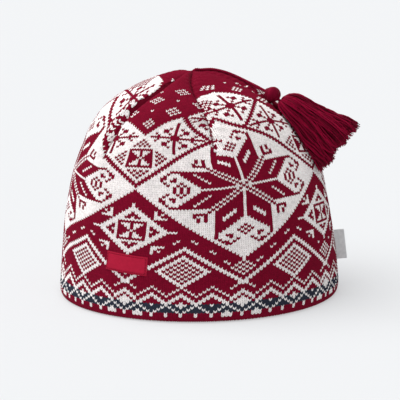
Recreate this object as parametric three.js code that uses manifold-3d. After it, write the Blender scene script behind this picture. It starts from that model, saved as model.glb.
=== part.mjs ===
// Winter hat: a double knit cap cut and sewn to a dome with six darts, with a knotted cord and
// a wool tassel on its top, a woven label on its front and a folded tape tag in its side.
// Millimetres, +Z up. The rim lies in the plane z = 0, the wearer looks along -Y.
import * as THREE from "three";
import { mergeVertices } from "three/addons/utils/BufferGeometryUtils.js";
import Module from "manifold-3d";

// The cap's driving sizes
const HALF_WIDTH = 91;
const HALF_LENGTH = 96.8;
const HEIGHT = 145;
const TOP_LEAN = -5.4; // how far the top has slumped along X
const WALL = 3;
const HEM_WALL = 4; // the folded rim is thicker
const HEM_DEPTH = 12;
const CLEARANCE = 0.3; // between pieces that touch

// Upright section of the cap: heights as shares of HEIGHT, radii as shares of the half sizes
const PROFILE = [
  { height: 0, radius: 0.982 },
  { height: 0.012, radius: 0.993 },
  { height: 0.035, radius: 1 },
  { height: 0.1, radius: 0.993 },
  { height: 0.235, radius: 0.972 },
  { height: 0.412, radius: 0.93 },
  { height: 0.588, radius: 0.868 },
  { height: 0.735, radius: 0.757 },
  { height: 0.853, radius: 0.606 },
  { height: 0.929, radius: 0.421 },
  { height: 0.976, radius: 0.237 },
  { height: 1, radius: 0 },
];

// Darts: six sewn seams from the top, evenly spaced
const DART_COUNT = 6;
const FIRST_DART = 41.5; // bearing, degrees
const DART_END = 100; // distance up the wall where a dart runs out
const DART_FADE = 14;
const GROOVE = { depth: 1.5, width: 2.6 };
const PUFF = 1.3; // how far the cloth swells between two darts
const DOG_EAR = { height: 1.2, reach: 7 }; // the small swelling past a dart's end
const TOP_GATHER = 14; // the grooves close up over this radius at the top

// Mesh stops: rows up the wall, closer together in the hem, and degrees past a dart
const HEM_RISES = [0, 2, 5];
const FIRST_WALL_RISE = 12;
const OUTER_ROWS = 24;
const INNER_ROWS = 13;
const GORE_STOPS = [0, 2.4, 6, 12, 20, 30, 40, 48, 54, 57.6];

const CORD_DIAMETER = 2;
// The cord's middle line: bearing from the front, reach down the crown from its top, lift over the knit
const CORD_ROUTE = [
  { bearing: 138, reach: 2, lift: 1.35 },
  { bearing: 137, reach: 5, lift: 1.35 },
  { bearing: 134.5, reach: 8.4, lift: 1.35 },
  { bearing: 131.5, reach: 11.8, lift: 1.35 },
  { bearing: 128.3, reach: 15.2, lift: 1.35 },
  { bearing: 125, reach: 18.6, lift: 1.35 },
  { bearing: 121.9, reach: 22, lift: 1.35 },
  { bearing: 118.9, reach: 25.4, lift: 1.35 },
  { bearing: 116.1, reach: 28.8, lift: 1.4 },
  { bearing: 113.5, reach: 32.2, lift: 1.5 },
  { bearing: 111.1, reach: 35.6, lift: 1.7 },
  { bearing: 108.8, reach: 39, lift: 2 },
  { bearing: 106.7, reach: 42.4, lift: 2.6 },
  { bearing: 104.8, reach: 45.6, lift: 3.4 },
  { bearing: 103.4, reach: 48.2, lift: 4.3 },
  { bearing: 102.5, reach: 50, lift: 4.9 },
];
const CORD_SIDES = 8;

// The knot: a ball, a little flat along the cord, with the cord's turns round it
const KNOT = { bearing: 101.2, reach: 55.4, lift: 5.9, radius: 5.5, flatness: 0.92 };
const KNOT_TURNS = { count: 3, depth: 0.07, twist: 2.2 };
const KNOT_BANDS = 9;
const KNOT_SIDES = 16;

// Tassel: its neck below the knot, the way that it points, and its spread at the cut end
const TASSEL = {
  neck: { bearing: 100.6, reach: 61.6, lift: 5.9 },
  bearing: 112,
  droop: 37,
  length: 50,
  halfSpread: 15.5,
  halfDepth: 9,
};
// Lock thickness along the tassel
const LOCK_STATIONS = [
  { along: 0, spread: 0.05, radius: 1.6 },
  { along: 0.06, spread: 0.24, radius: 3 },
  { along: 0.17, spread: 0.43, radius: 4 },
  { along: 0.38, spread: 0.58, radius: 4.4 },
  { along: 0.62, spread: 0.75, radius: 4.6 },
  { along: 0.85, spread: 0.92, radius: 4.8 },
  { along: 1, spread: 1, radius: 4.1 },
];
// Rings of locks: how many, how far out, and how much shorter than the first the others are cut
const LOCK_RINGS = [
  { count: 10, share: 1 },
  { count: 3, share: 0.45 },
];
const LOCK_TRIM = 0.025;
const LOCK_SIDES = 8;
const LAYING_PASSES = 4; // times that a lock is pushed clear of the dome

const LABEL = { bearing: 1.5, rise: 35, width: 29, height: 11.6, thickness: 0.9, tilt: -3 };
// The tag's two layers lie apart at the root and meet at the taper
const TAG = { bearing: 115, rise: 31, reach: 8, height: 19.5, thickness: 1.1, root: 1.7, taper: 3.2 };

const radians = THREE.MathUtils.degToRad;
const MEAN_RADIUS = (HALF_WIDTH + HALF_LENGTH) / 2;

// The section as one smooth curve in the X-Z plane, from the rim to the top
const section = new THREE.CatmullRomCurve3(
  PROFILE.map((row) => new THREE.Vector3(row.radius * MEAN_RADIUS, 0, row.height * HEIGHT)),
  false,
  "centripetal",
);
section.arcLengthDivisions = 800;
const MERIDIAN = section.getLength();

// Section radius share, height and outward slope at a distance up the wall
function sectionAt(rise) {
  const share = THREE.MathUtils.clamp(rise / MERIDIAN, 0, 1);
  const point = section.getPointAt(share);
  const tangent = section.getTangentAt(share);
  return { radius: point.x / MEAN_RADIUS, height: point.z, outward: tangent.z, upward: -tangent.x };
}

// Height of the knit's relief over the plain dome: dart grooves, swollen gores and dog ears
function relief(bearing, rise) {
  const gore = 360 / DART_COUNT;
  const past = (((bearing - FIRST_DART) % gore) + gore) % gore;
  const localRadius = Math.max(sectionAt(rise).radius * MEAN_RADIUS, 0.5);
  const fromSeam = radians(Math.min(past, gore - past)) * localRadius;
  const open = THREE.MathUtils.smoothstep(rise, DART_END, DART_END + DART_FADE);
  const gathered = THREE.MathUtils.smoothstep(localRadius, 0, TOP_GATHER);
  const groove = -GROOVE.depth * open * gathered * Math.exp(-((fromSeam / GROOVE.width) ** 2));
  const swell = PUFF * open * gathered * Math.sin((Math.PI * past) / gore) ** 2;
  const fromEnd = Math.hypot(fromSeam, rise - DART_END + DART_FADE / 2) / DOG_EAR.reach;
  return groove + swell + DOG_EAR.height * Math.exp(-(fromEnd ** 2));
}

// A point on the plain dome, moved out along the dome's normal
function domePoint(bearing, rise, out = 0) {
  const { radius, height, outward, upward } = sectionAt(rise);
  const angle = radians(bearing);
  const lean = TOP_LEAN * (height / HEIGHT) ** 2;
  return new THREE.Vector3(
    (HALF_WIDTH * radius + out * outward) * Math.sin(angle) + lean,
    -(HALF_LENGTH * radius + out * outward) * Math.cos(angle),
    height + out * upward,
  );
}

// A point over the knit with its relief
function knitPoint(bearing, rise, lift = 0) {
  return domePoint(bearing, rise, relief(bearing, rise) + lift);
}

// The dome's outward direction at a place
function domeNormal(bearing, rise) {
  return domePoint(bearing, rise, 1).sub(domePoint(bearing, rise)).normalize();
}

// Joins rings of points into one closed surface: a ring of one point closes an end
function closedSurface(rings) {
  const positions = [];
  const starts = [];
  for (const ring of rings) {
    starts.push(positions.length / 3);
    for (const point of ring) positions.push(point.x, point.y, point.z);
  }
  const index = [];
  for (let row = 0; row + 1 < rings.length; row++) {
    const count = Math.max(rings[row].length, rings[row + 1].length);
    const at = (r, i) => starts[r] + (i % rings[r].length);
    for (let i = 0; i < count; i++) {
      if (rings[row].length > 1) index.push(at(row, i), at(row, i + 1), at(row + 1, i + 1));
      if (rings[row + 1].length > 1) index.push(at(row, i), at(row + 1, i + 1), at(row + 1, i));
    }
  }
  const geometry = new THREE.BufferGeometry();
  geometry.setAttribute("position", new THREE.Float32BufferAttribute(positions, 3));
  geometry.setIndex(index);
  return geometry;
}

// The place up the wall that lies a given way down the crown from its top
function riseAt(reach) {
  return MERIDIAN - reach;
}

// The hollow knit dome: inner wall from the top down, flat rim, outer wall back up to the top
function knitBodyGeometry() {
  const bearings = [];
  for (let dart = 0; dart < DART_COUNT; dart++) {
    for (const stop of GORE_STOPS) bearings.push(FIRST_DART + (360 / DART_COUNT) * dart + stop);
  }
  const wallAt = (rise) => {
    const pastHem = THREE.MathUtils.smoothstep(rise, HEM_DEPTH, 2 * HEM_DEPTH);
    return THREE.MathUtils.lerp(HEM_WALL, WALL, pastHem);
  };
  const innerRings = [];
  for (let row = 0; row < INNER_ROWS; row++) {
    const rise = (MERIDIAN * row) / INNER_ROWS;
    const ring = bearings.map((bearing) => domePoint(bearing, rise, -wallAt(rise)));
    if (row === 0) ring.forEach((point) => point.setZ(0));
    innerRings.unshift(ring);
  }
  const outerRises = [...HEM_RISES];
  for (let row = 0; row < OUTER_ROWS; row++) {
    outerRises.push(THREE.MathUtils.lerp(FIRST_WALL_RISE, MERIDIAN, row / OUTER_ROWS));
  }
  const outerRings = outerRises.map((rise) => bearings.map((bearing) => knitPoint(bearing, rise)));
  return closedSurface([
    [domePoint(0, MERIDIAN, -WALL)],
    ...innerRings,
    ...outerRings,
    [knitPoint(0, MERIDIAN)],
  ]);
}

// A closed tube of changing radius through a list of points
function sweptTube(points, radii, sides) {
  const curve = new THREE.CatmullRomCurve3(points, false, "centripetal");
  const frames = curve.computeFrenetFrames(points.length - 1, false);
  const rings = points.map((centre, i) => {
    const ring = [];
    for (let side = 0; side < sides; side++) {
      const angle = (2 * Math.PI * side) / sides;
      const offset = frames.normals[i].clone().multiplyScalar(Math.cos(angle) * radii[i]);
      offset.addScaledVector(frames.binormals[i], Math.sin(angle) * radii[i]);
      ring.push(centre.clone().add(offset));
    }
    return ring;
  });
  return closedSurface([[points[0]], ...rings, [points.at(-1)]]);
}

function cordGeometry() {
  const route = new THREE.CatmullRomCurve3(
    CORD_ROUTE.map((row) => knitPoint(row.bearing, riseAt(row.reach), row.lift)),
    false,
    "centripetal",
  );
  const circle = new THREE.Shape();
  for (let side = 0; side < CORD_SIDES; side++) {
    const angle = (2 * Math.PI * side) / CORD_SIDES;
    const corner = [Math.cos(angle), Math.sin(angle)].map((share) => (share * CORD_DIAMETER) / 2);
    if (side === 0) circle.moveTo(...corner);
    else circle.lineTo(...corner);
  }
  circle.closePath();
  const steps = Math.round(route.getLength() / (2 * CORD_DIAMETER));
  return new THREE.ExtrudeGeometry(circle, { extrudePath: route, steps, curveSegments: 1 });
}

// The overhand knot, pulled tight
function knotGeometry() {
  const centre = knitPoint(KNOT.bearing, riseAt(KNOT.reach), KNOT.lift);
  const along = knitPoint(KNOT.bearing, riseAt(KNOT.reach + 1), KNOT.lift).sub(centre).normalize();
  const normal = domeNormal(KNOT.bearing, riseAt(KNOT.reach));
  const across = new THREE.Vector3().crossVectors(normal, along).normalize();
  const up = new THREE.Vector3().crossVectors(along, across);
  const placed = (lengthwise, sideways, upwards) =>
    centre.clone()
      .addScaledVector(along, lengthwise * KNOT.radius * KNOT.flatness)
      .addScaledVector(across, sideways * KNOT.radius)
      .addScaledVector(up, upwards * KNOT.radius);
  const rings = [[placed(-1, 0, 0)]];
  for (let band = 1; band < KNOT_BANDS; band++) {
    const polar = (Math.PI * band) / KNOT_BANDS;
    const ring = [];
    for (let side = 0; side < KNOT_SIDES; side++) {
      const angle = (2 * Math.PI * side) / KNOT_SIDES;
      const valley = (1 + Math.cos(KNOT_TURNS.count * angle + KNOT_TURNS.twist * polar)) / 2;
      const swell = 1 - KNOT_TURNS.depth * Math.sin(polar) * valley;
      const width = swell * Math.sin(polar);
      ring.push(placed(-Math.cos(polar) * swell, Math.cos(angle) * width, Math.sin(angle) * width));
    }
    rings.push(ring);
  }
  rings.push([placed(1, 0, 0)]);
  return closedSurface(rings);
}

// A geometry as a solid that can be joined to others
const wasm = await Module();
wasm.setup();
function toSolid(geometry) {
  geometry.deleteAttribute("normal");
  geometry.deleteAttribute("uv");
  const merged = mergeVertices(geometry);
  return new wasm.Manifold(
    new wasm.Mesh({
      numProp: 3,
      vertProperties: merged.attributes.position.array,
      triVerts: new Uint32Array(merged.index.array),
    }),
  );
}

function fromSolid(solid) {
  const { vertProperties, triVerts } = solid.getMesh();
  const geometry = new THREE.BufferGeometry();
  geometry.setAttribute("position", new THREE.BufferAttribute(vertProperties, 3));
  geometry.setIndex(new THREE.BufferAttribute(triVerts, 1));
  return geometry;
}

// Distance of a point outside the plain dome, and the way straight out from it
const wallSamples = Array.from({ length: 201 }, (_, i) => sectionAt((MERIDIAN * i) / 200));
function outsideDome(point) {
  const height = THREE.MathUtils.clamp(point.z, 0, HEIGHT);
  const sample = wallSamples.find((row) => row.height >= height) ?? wallSamples.at(-1);
  const x = point.x - TOP_LEAN * (height / HEIGHT) ** 2;
  const angle = Math.atan2(x / HALF_WIDTH, -point.y / HALF_LENGTH);
  const radius = Math.hypot(x / HALF_WIDTH, point.y / HALF_LENGTH);
  const way = new THREE.Vector3(
    sample.outward * Math.sin(angle),
    -sample.outward * Math.cos(angle),
    sample.upward,
  );
  return { distance: (radius - sample.radius) * MEAN_RADIUS * sample.outward, way };
}

// One lock of yarn, laid against the dome where it would sink into it
function lockGeometry(frame, angle, share, lengthShare) {
  const points = LOCK_STATIONS.map((station) => {
    const down = station.along * lengthShare * TASSEL.length;
    const point = frame.neck.clone().addScaledVector(frame.along, down);
    const spread = station.spread * share;
    point.addScaledVector(frame.wide, Math.cos(angle) * spread * TASSEL.halfSpread);
    point.addScaledVector(frame.deep, Math.sin(angle) * spread * TASSEL.halfDepth);
    for (let pass = 0; pass < LAYING_PASSES; pass++) {
      const { distance, way } = outsideDome(point);
      const short = station.radius + PUFF + CLEARANCE - distance;
      if (short > 0) point.addScaledVector(way, short);
    }
    return point;
  });
  return sweptTube(points, LOCK_STATIONS.map((station) => station.radius), LOCK_SIDES);
}

function tasselGeometry() {
  const { neck, bearing, droop } = TASSEL;
  const level = new THREE.Vector3(Math.sin(radians(bearing)), -Math.cos(radians(bearing)), 0);
  const along = level.clone().multiplyScalar(Math.cos(radians(droop)));
  along.z = -Math.sin(radians(droop));
  const deep = new THREE.Vector3(level.y, -level.x, 0);
  const wide = new THREE.Vector3().crossVectors(deep, along);
  const frame = { neck: knitPoint(neck.bearing, riseAt(neck.reach), neck.lift), along, wide, deep };
  let solid = null;
  for (const { count, share } of LOCK_RINGS) {
    for (let lock = 0; lock < count; lock++) {
      const angle = (2 * Math.PI * (lock + 0.5)) / count;
      const lengthShare = 1 - LOCK_TRIM * (lock % 3);
      const next = toSolid(lockGeometry(frame, angle, share, lengthShare));
      solid = solid ? solid.add(next) : next;
    }
  }
  return fromSolid(solid);
}

// The woven label: a thin plate bent round the front of the cap
function labelGeometry() {
  const plate = new THREE.BoxGeometry(LABEL.width, LABEL.thickness, LABEL.height, 10, 1, 4);
  plate.rotateY(radians(-LABEL.tilt));
  const position = plate.attributes.position;
  const corner = new THREE.Vector3();
  const localRadius = sectionAt(LABEL.rise).radius * HALF_WIDTH;
  for (let i = 0; i < position.count; i++) {
    corner.fromBufferAttribute(position, i);
    const bearing = LABEL.bearing + THREE.MathUtils.radToDeg(corner.x / localRadius);
    const out = CLEARANCE + LABEL.thickness / 2 - corner.y;
    const placed = domePoint(bearing, LABEL.rise + corner.z, out);
    position.setXYZ(i, placed.x, placed.y, placed.z);
  }
  return plate;
}

// The side tag: a tape folded on itself, its fold outwards and its root at the knit
function tagMesh(material) {
  const outline = new THREE.Shape();
  const fold = TAG.thickness / 2;
  outline.moveTo(0, -TAG.root / 2);
  outline.lineTo(TAG.taper, -fold);
  outline.lineTo(TAG.reach - fold, -fold);
  outline.absarc(TAG.reach - fold, 0, fold, -Math.PI / 2, Math.PI / 2, false);
  outline.lineTo(TAG.taper, fold);
  outline.lineTo(0, TAG.root / 2);
  outline.closePath();
  const geometry = new THREE.ExtrudeGeometry(outline, {
    depth: TAG.height,
    bevelEnabled: false,
    curveSegments: 6,
  });
  geometry.translate(0, 0, -TAG.height / 2);
  const mesh = new THREE.Mesh(geometry, material);
  const out = domeNormal(TAG.bearing, TAG.rise);
  const up = domePoint(TAG.bearing, TAG.rise + 1).sub(domePoint(TAG.bearing, TAG.rise - 1)).normalize();
  const side = new THREE.Vector3().crossVectors(up, out).normalize();
  mesh.quaternion.setFromRotationMatrix(new THREE.Matrix4().makeBasis(out, side, up));
  mesh.position.copy(domePoint(TAG.bearing, TAG.rise, CLEARANCE));
  return mesh;
}

const finish = (color, roughness) => new THREE.MeshStandardMaterial({ color, roughness, metalness: 0 });
const knitWool = finish(0x8c1431, 0.9);
const tasselWool = finish(0x7e0f29, 0.85);
const labelCloth = finish(0xc4152f, 0.7);
const tagTape = finish(0xd4d6d8, 0.75);

function named(name, mesh) {
  mesh.name = name;
  return mesh;
}

const hat = new THREE.Group();
hat.add(
  named("knit_body", new THREE.Mesh(knitBodyGeometry(), knitWool)),
  named("tassel_cord", new THREE.Mesh(cordGeometry(), tasselWool)),
  named("cord_knot", new THREE.Mesh(knotGeometry(), tasselWool)),
  named("tassel", new THREE.Mesh(tasselGeometry(), tasselWool)),
  named("front_label", new THREE.Mesh(labelGeometry(), labelCloth)),
  named("side_tag", tagMesh(tagTape)),
);

export default hat;
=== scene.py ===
import math

import bpy
import numpy as np
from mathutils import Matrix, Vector


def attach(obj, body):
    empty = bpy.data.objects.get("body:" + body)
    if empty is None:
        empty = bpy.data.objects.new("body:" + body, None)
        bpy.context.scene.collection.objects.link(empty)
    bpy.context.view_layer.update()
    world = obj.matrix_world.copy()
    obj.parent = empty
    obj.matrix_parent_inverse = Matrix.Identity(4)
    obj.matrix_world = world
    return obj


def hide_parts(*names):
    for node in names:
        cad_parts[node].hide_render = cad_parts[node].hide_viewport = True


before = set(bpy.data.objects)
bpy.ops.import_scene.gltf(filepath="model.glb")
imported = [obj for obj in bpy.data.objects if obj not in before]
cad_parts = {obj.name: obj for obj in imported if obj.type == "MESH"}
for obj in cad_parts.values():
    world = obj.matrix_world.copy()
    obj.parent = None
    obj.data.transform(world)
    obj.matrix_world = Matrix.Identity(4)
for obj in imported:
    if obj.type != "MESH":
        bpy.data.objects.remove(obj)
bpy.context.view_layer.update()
rng = np.random.default_rng(7)
MM = 0.001
IMAGE = 400  # pixels across the photograph's frame

# The cap's sizes, the same as the solid's
HALF_WIDTH = 91.0
HALF_LENGTH = 96.8
HEIGHT = 145.0
TOP_LEAN = -5.4
WALL = 3.0
HEM_DEPTH = 12.0
PROFILE = [  # height share, radius share
    (0, 0.982),
    (0.012, 0.993),
    (0.035, 1),
    (0.1, 0.993),
    (0.235, 0.972),
    (0.412, 0.93),
    (0.588, 0.868),
    (0.735, 0.757),
    (0.853, 0.606),
    (0.929, 0.421),
    (0.976, 0.237),
    (1, 0),
]
DART_COUNT = 6
GORE = 360 / DART_COUNT
FIRST_DART = 41.5
DART_END = 100.0
DART_FADE = 14.0
GROOVE_DEPTH = 1.5
GROOVE_WIDTH = 2.6
PUFF = 1.3
DOG_EAR_HEIGHT = 1.2
DOG_EAR_REACH = 7.0
TOP_GATHER = 14.0

CORD_ROUTE = [  # bearing, reach down from the top, lift over the knit
    (138, 2, 1.35),
    (137, 5, 1.35),
    (134.5, 8.4, 1.35),
    (131.5, 11.8, 1.35),
    (128.3, 15.2, 1.35),
    (125, 18.6, 1.35),
    (121.9, 22, 1.35),
    (118.9, 25.4, 1.35),
    (116.1, 28.8, 1.4),
    (113.5, 32.2, 1.5),
    (111.1, 35.6, 1.7),
    (108.8, 39, 2),
    (106.7, 42.4, 2.6),
    (104.8, 45.6, 3.4),
    (103.4, 48.2, 4.3),
    (102.5, 50, 4.9),
]
KNOT_BEARING, KNOT_REACH, KNOT_LIFT, KNOT_RADIUS = 101.2, 55.4, 5.9, 5.5
NECK_BEARING, NECK_REACH, NECK_LIFT = 100.6, 61.6, 5.9
TASSEL_BEARING, TASSEL_DROOP, TASSEL_LENGTH = 112.0, 37.0, 50.0
TASSEL_SPREAD, TASSEL_DEPTH = 15.5, 9.0
LOCK_STATIONS = [  # along, spread, radius
    (0, 0.05, 1.6),
    (0.06, 0.24, 3),
    (0.17, 0.43, 4),
    (0.38, 0.58, 4.4),
    (0.62, 0.75, 4.6),
    (0.85, 0.92, 4.8),
    (1, 1, 4.1),
]
LABEL_BEARING, LABEL_RISE, LABEL_TILT = 1.5, 35.0, -3.0
LABEL_WIDTH, LABEL_HEIGHT, LABEL_THICKNESS = 29.0, 11.6, 0.9
TAG_BEARING, TAG_RISE, TAG_REACH, TAG_HEIGHT = 115.0, 31.0, 8.0, 19.5


# Camera: where the photograph was taken from
CAMERA_AZIMUTH, CAMERA_ELEVATION, CAMERA_DISTANCE = 30, 9.5, 1.0  # degrees, degrees, metres
CAMERA_FOCAL = 1510  # pixels
MIDDLE_HEIGHT = 0.07  # metres from the floor up to the hat's middle
MIDDLE_ABOVE = 15.8  # pixels from the middle of the frame up to the hat's middle


def place_camera():
    azimuth, elevation = math.radians(CAMERA_AZIMUTH), math.radians(CAMERA_ELEVATION)
    centre = Vector((0, 0, MIDDLE_HEIGHT))
    way = Vector((
        math.sin(azimuth) * math.cos(elevation),
        -math.cos(azimuth) * math.cos(elevation),
        math.sin(elevation),
    ))
    data = bpy.data.cameras.new("camera")
    data.sensor_width = 36
    data.lens = data.sensor_width * CAMERA_FOCAL / IMAGE
    data.clip_start, data.clip_end = 0.05, 20
    camera = bpy.data.objects.new("camera", data)
    bpy.context.scene.collection.objects.link(camera)
    camera.location = centre + way * CAMERA_DISTANCE
    drop = CAMERA_DISTANCE * MIDDLE_ABOVE / CAMERA_FOCAL / math.cos(elevation)
    aim = centre - Vector((0, 0, drop)) - camera.location
    camera.rotation_euler = aim.to_track_quat("-Z", "Y").to_euler()
    bpy.context.scene.camera = camera


place_camera()


# Numbers
def smoothstep(value, low, high):
    share = np.clip((value - low) / (high - low), 0, 1)
    return share * share * (3 - 2 * share)


def unit(vectors):
    return vectors / np.maximum(np.linalg.norm(vectors, axis=-1, keepdims=True), 1e-9)


# A smooth curve through points, the same kind as the solid's, cut finely
def smooth_curve(points, cuts=40):
    points = np.asarray(points, float)
    ends = np.vstack([2 * points[0] - points[1], points, 2 * points[-1] - points[-2]])
    found = []
    for a, b, c, d in zip(ends[:-3], ends[1:-2], ends[2:-1], ends[3:]):
        before, middle, after = (math.sqrt(np.linalg.norm(q - p)) for p, q in ((a, b), (b, c), (c, d)))
        start = ((b - a) / before - (c - a) / (before + middle) + (c - b) / middle) * middle
        stop = ((c - b) / middle - (d - b) / (middle + after) + (d - c) / after) * middle
        t = np.linspace(0, 1, cuts, endpoint=False)[:, None]
        bend = -3 * b + 3 * c - 2 * start - stop
        found.append(b + start * t + bend * t**2 + (2 * b - 2 * c + start + stop) * t**3)
    return np.vstack(found + [points[-1:]])


def lengths_along(points):
    return np.concatenate([[0], np.cumsum(np.linalg.norm(np.diff(points, axis=0), axis=1))])


def resampled(points, count):
    along = lengths_along(points)
    stops = np.linspace(0, along[-1], count)
    return np.column_stack([np.interp(stops, along, points[:, axis]) for axis in range(3)])


# The cap's section, from the rim to the top
MEAN_RADIUS = (HALF_WIDTH + HALF_LENGTH) / 2
SECTION = smooth_curve([(radius * MEAN_RADIUS, 0, height * HEIGHT) for height, radius in PROFILE], 80)
SECTION_RISE = lengths_along(SECTION)
MERIDIAN = SECTION_RISE[-1]
SECTION_SLOPE = unit(np.gradient(SECTION, SECTION_RISE, axis=0))


def section_at(rise):
    parts = (SECTION[:, 0] / MEAN_RADIUS, SECTION[:, 2], SECTION_SLOPE[:, 2], -SECTION_SLOPE[:, 0])
    return [np.interp(rise, SECTION_RISE, part) for part in parts]


def radius_at(rise):
    return np.maximum(section_at(rise)[0] * MEAN_RADIUS, 0.5)


def from_seam(bearing):
    past = np.mod(bearing - FIRST_DART, GORE)
    return past, np.radians(np.minimum(past, GORE - past))


# Height of the cloth over the plain dome
def relief(bearing, rise):
    past, seam_angle = from_seam(bearing)
    local_radius = radius_at(rise)
    seam = seam_angle * local_radius
    opened = smoothstep(rise, DART_END, DART_END + DART_FADE)
    gathered = smoothstep(local_radius, 0, TOP_GATHER)
    groove = -GROOVE_DEPTH * opened * gathered * np.exp(-((seam / GROOVE_WIDTH) ** 2))
    swell = PUFF * opened * gathered * np.sin(np.pi * past / GORE) ** 2
    end = np.hypot(seam, rise - DART_END + DART_FADE / 2) / DOG_EAR_REACH
    return groove + swell + DOG_EAR_HEIGHT * np.exp(-(end**2))


# The two darts that face the camera lean together at the top, so a place beside them is put back
# to where it would be with upright darts
LEAN_RISES = (100, 107, 127, 143, 157, 173, 190)
LEFT_LEAN = (0, 1, 3.5, 9.5, 15.5, 20, 22)
RIGHT_LEAN = (0, 0.2, 1.8, 5.5, 10.5, 14, 16)


def leans(rise):
    return np.interp(rise, LEAN_RISES, LEFT_LEAN), np.interp(rise, LEAN_RISES, RIGHT_LEAN)


def upright(bearing, rise):
    bearing = np.mod(bearing - FIRST_DART + 180, 360) - 180 + FIRST_DART
    left, right = leans(rise)
    start, first = FIRST_DART - 2 * GORE, FIRST_DART - GORE + left
    second, stop = FIRST_DART - right, FIRST_DART + GORE
    beyond_left = start + (bearing - start) * GORE / (first - start)
    between = FIRST_DART - GORE + (bearing - first) * GORE / (second - first)
    beyond_right = FIRST_DART + (bearing - second) * GORE / (stop - second)
    found = np.where((bearing > start) & (bearing < first), beyond_left, bearing)
    found = np.where((bearing >= first) & (bearing < second), between, found)
    return np.where((bearing >= second) & (bearing < stop), beyond_right, found)


# Slack in the cloth: tight folds at the darts, puckers beside them and a few soft waves.
# The dart at the front left is folded deepest, with a puffed roll on its left.
DEEP_DART = FIRST_DART - GORE
FOLD_DEPTH, DEEPER, FOLD_WIDTH = 0.9, 1.5, 1.3
ROLL_HEIGHT, ROLL_ASIDE, ROLL_WIDTH = 2.0, 4.6, 2.9
WAVE_HEIGHT = 0.35


def slack(bearing, rise):
    local_radius = radius_at(rise)
    beside = np.mod(bearing - FIRST_DART + GORE / 2, GORE) - GORE / 2
    side = np.radians(beside) * local_radius
    from_deep = np.abs(np.mod(bearing - DEEP_DART + 180, 360) - 180)
    deep = 1 - smoothstep(from_deep, 22, 30)
    gathered = smoothstep(local_radius, 3, 18)
    opened = smoothstep(rise, DART_END - 6, DART_END + 10) * gathered
    fold = -(FOLD_DEPTH + DEEPER * deep) * np.exp(-((side / FOLD_WIDTH) ** 2)) * opened
    roll = ROLL_HEIGHT * deep * np.exp(-(((side + ROLL_ASIDE) / ROLL_WIDTH) ** 2)) * opened
    roll = roll * (1 - smoothstep(rise, 140, 152))
    angle = np.radians(bearing)
    ripple = np.sin(rise * (1.15 + 0.4 * deep) + 1.7 * np.sin(6 * angle) + 0.25 * side)
    strength = 0.4 + (0.6 * smoothstep(-side, 1, 5) - 0.4) * deep
    pucker = strength * ripple * np.exp(-((side / (7 + 2 * deep)) ** 2)) * opened
    wave = np.sin(3 * angle + 0.03 * rise) * np.sin(rise * 0.06 + 1)
    wave = wave + np.sin(5 * angle + 2 - 0.05 * rise)
    between_ends = smoothstep(rise, 12, 50) * smoothstep(local_radius, 25, 60)
    return fold + roll + pucker + WAVE_HEIGHT * wave * between_ends


# A point of the plain dome, moved straight out
def dome_point(bearing, rise, out=0.0):
    radius, height, outward, upward = section_at(rise)
    angle = np.radians(bearing)
    lean = TOP_LEAN * (height / HEIGHT) ** 2
    parts = np.broadcast_arrays(
        (HALF_WIDTH * radius + out * outward) * np.sin(angle) + lean,
        -(HALF_LENGTH * radius + out * outward) * np.cos(angle),
        height + out * upward,
    )
    return np.stack(parts, axis=-1)


# A point over the solid's surface
def knit_point(bearing, rise, lift=0.0):
    return dome_point(bearing, rise, relief(bearing, rise) + lift)


def dome_normal(bearing, rise):
    return unit(dome_point(bearing, rise, 1.0) - dome_point(bearing, rise))


# The knit's surface: up the outer wall, and for a rise below HEM_TURN round the fold and up inside
HEM_TURN = 2.0
HEM_DROP = 1.5


def cloth_point(bearing, rise, lift):
    bearing, rise, lift = np.broadcast_arrays(bearing, rise, lift)
    place = upright(bearing, rise)
    height = relief(place, rise) + slack(place, rise) + lift
    outer = dome_point(bearing, np.maximum(rise, HEM_TURN), height)
    turned = np.clip((HEM_TURN - rise) / HEM_TURN, 0, math.pi)
    inside = np.maximum(HEM_TURN - rise - math.pi * HEM_TURN, 0)
    fold = dome_point(bearing, HEM_TURN + inside, -HEM_TURN + (HEM_TURN + lift) * np.cos(turned))
    fold[..., 2] -= (HEM_DROP + lift) * np.sin(turned)
    return np.where((rise < HEM_TURN)[..., None], fold, outer)


# Meshes
def new_piece(name, points, faces, material, hides=(), colours=None):
    mesh = bpy.data.meshes.new(name)
    mesh.from_pydata((np.asarray(points) * MM).tolist(), [], [list(map(int, face)) for face in faces])
    mesh.materials.append(material)
    if colours is not None:
        layer = mesh.color_attributes.new("yarn", "FLOAT_COLOR", "POINT")
        layer.data.foreach_set("color", np.column_stack([colours, np.ones(len(colours))]).ravel())
    mesh.polygons.foreach_set("use_smooth", [True] * len(mesh.polygons))
    mesh.update()
    piece = bpy.data.objects.new(name, mesh)
    bpy.context.scene.collection.objects.link(piece)
    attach(piece, "root")
    if hides:
        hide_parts(*hides)
    return piece


# Faces of a grid of rows and columns of points
def grid_faces(rows, columns, start=0, closed=False):
    row = np.arange(rows - 1)[:, None]
    column = np.arange(columns if closed else columns - 1)[None, :]
    after = (column + 1) % columns
    corners = [row * columns + column, row * columns + after]
    corners += [(row + 1) * columns + after, (row + 1) * columns + column]
    return np.stack(np.broadcast_arrays(*corners), axis=-1).reshape(-1, 4) + start


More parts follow.
